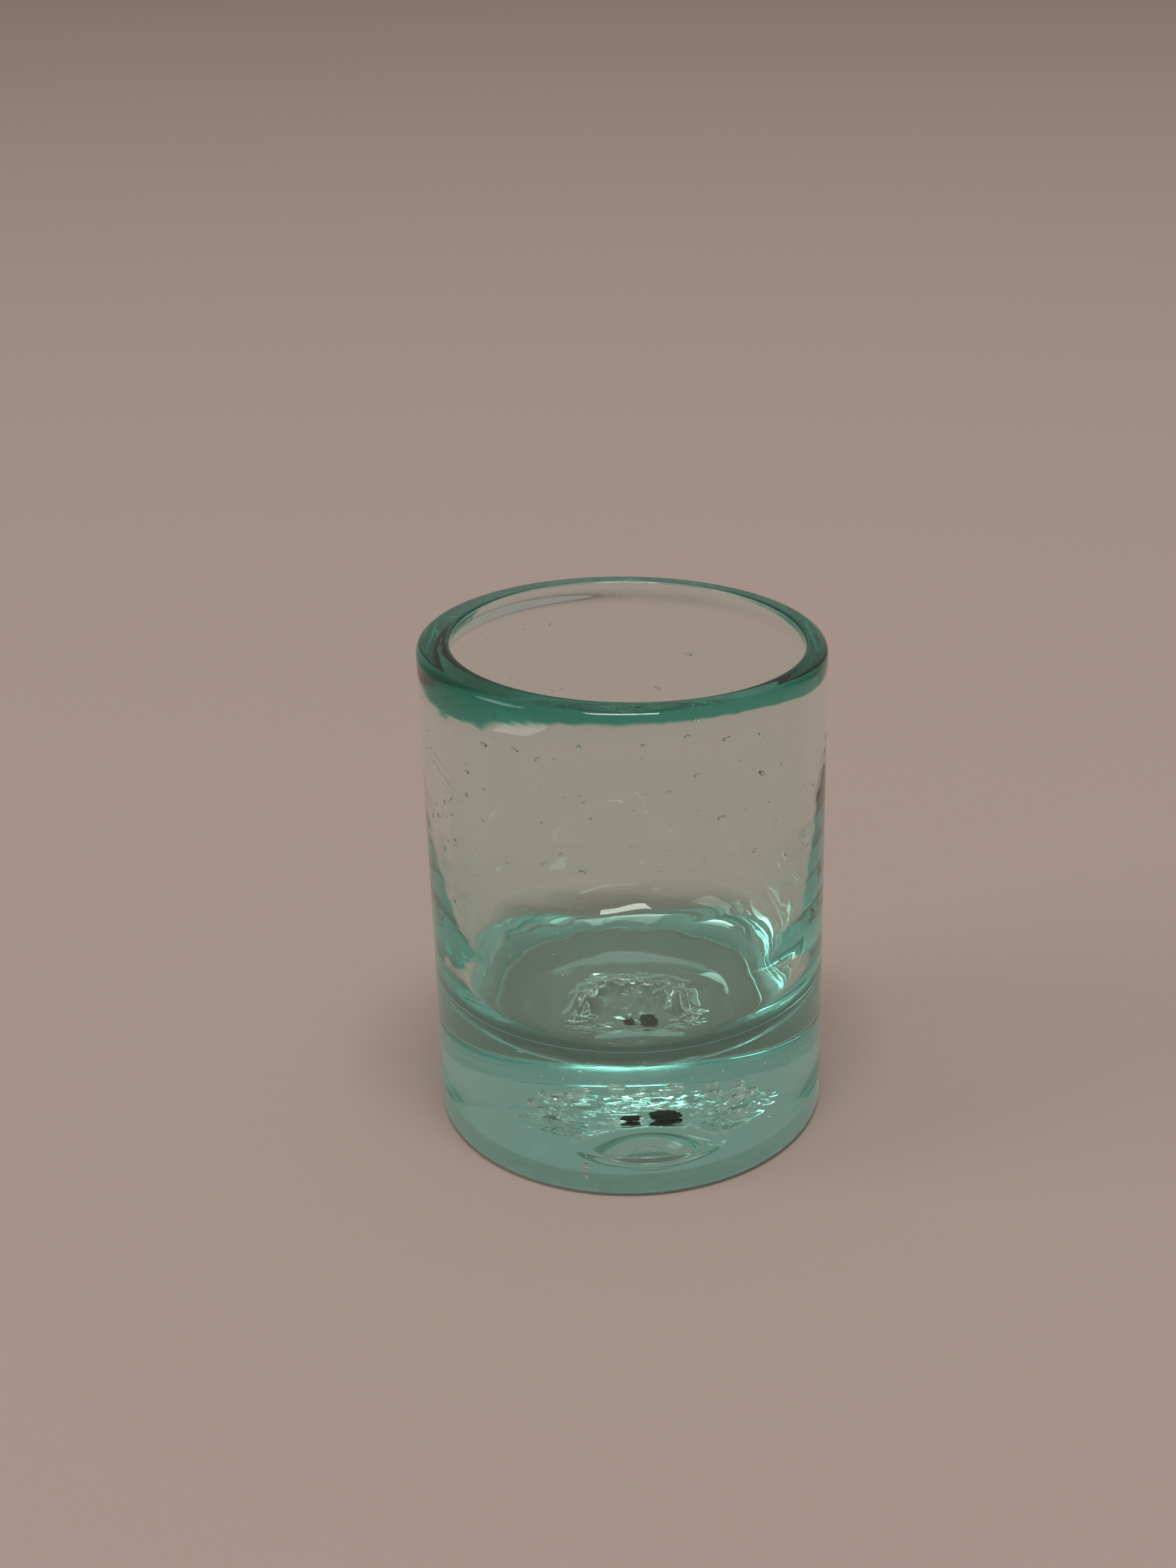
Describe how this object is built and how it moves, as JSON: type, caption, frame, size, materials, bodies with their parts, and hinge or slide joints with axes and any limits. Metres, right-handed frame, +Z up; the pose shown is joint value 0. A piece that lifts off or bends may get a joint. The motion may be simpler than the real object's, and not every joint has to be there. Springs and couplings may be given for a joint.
{
  "type": "shot glass",
  "caption": "Small hand-blown drinking glass: straight thin wall, heavy base punted and scarred underneath, and a teal bead melted in round the lip.",
  "frame": {"origin": "centre of the foot, on the surface the glass stands on", "axes": "+Z up along the glass, out of its mouth; -Y is the front; +X is the side where the lip wrap is thinnest"},
  "size_m": [0.0506, 0.0506, 0.0656],
  "materials": {
    "clear_aqua_glass": "fire-polished, nearly colourless, with seeds and faint cords",
    "deep_aqua_glass": "fire-polished, pale aqua that deepens with thickness",
    "teal_wrap_glass": "fire-polished, deep teal",
    "torn_glass": "broken and lightly fire-softened",
    "iron_scale": "crusted black oxide"
  },
  "bodies": {
    "root": {"cup_bubble": "clear_aqua_glass", "base_gather": "deep_aqua_glass", "lip_wrap": "teal_wrap_glass", "pontil_wad": "torn_glass", "pontil_crumbs": "torn_glass", "scale_flake_large": "iron_scale", "scale_flake_small": "iron_scale"}
  },
  "joints": []
}
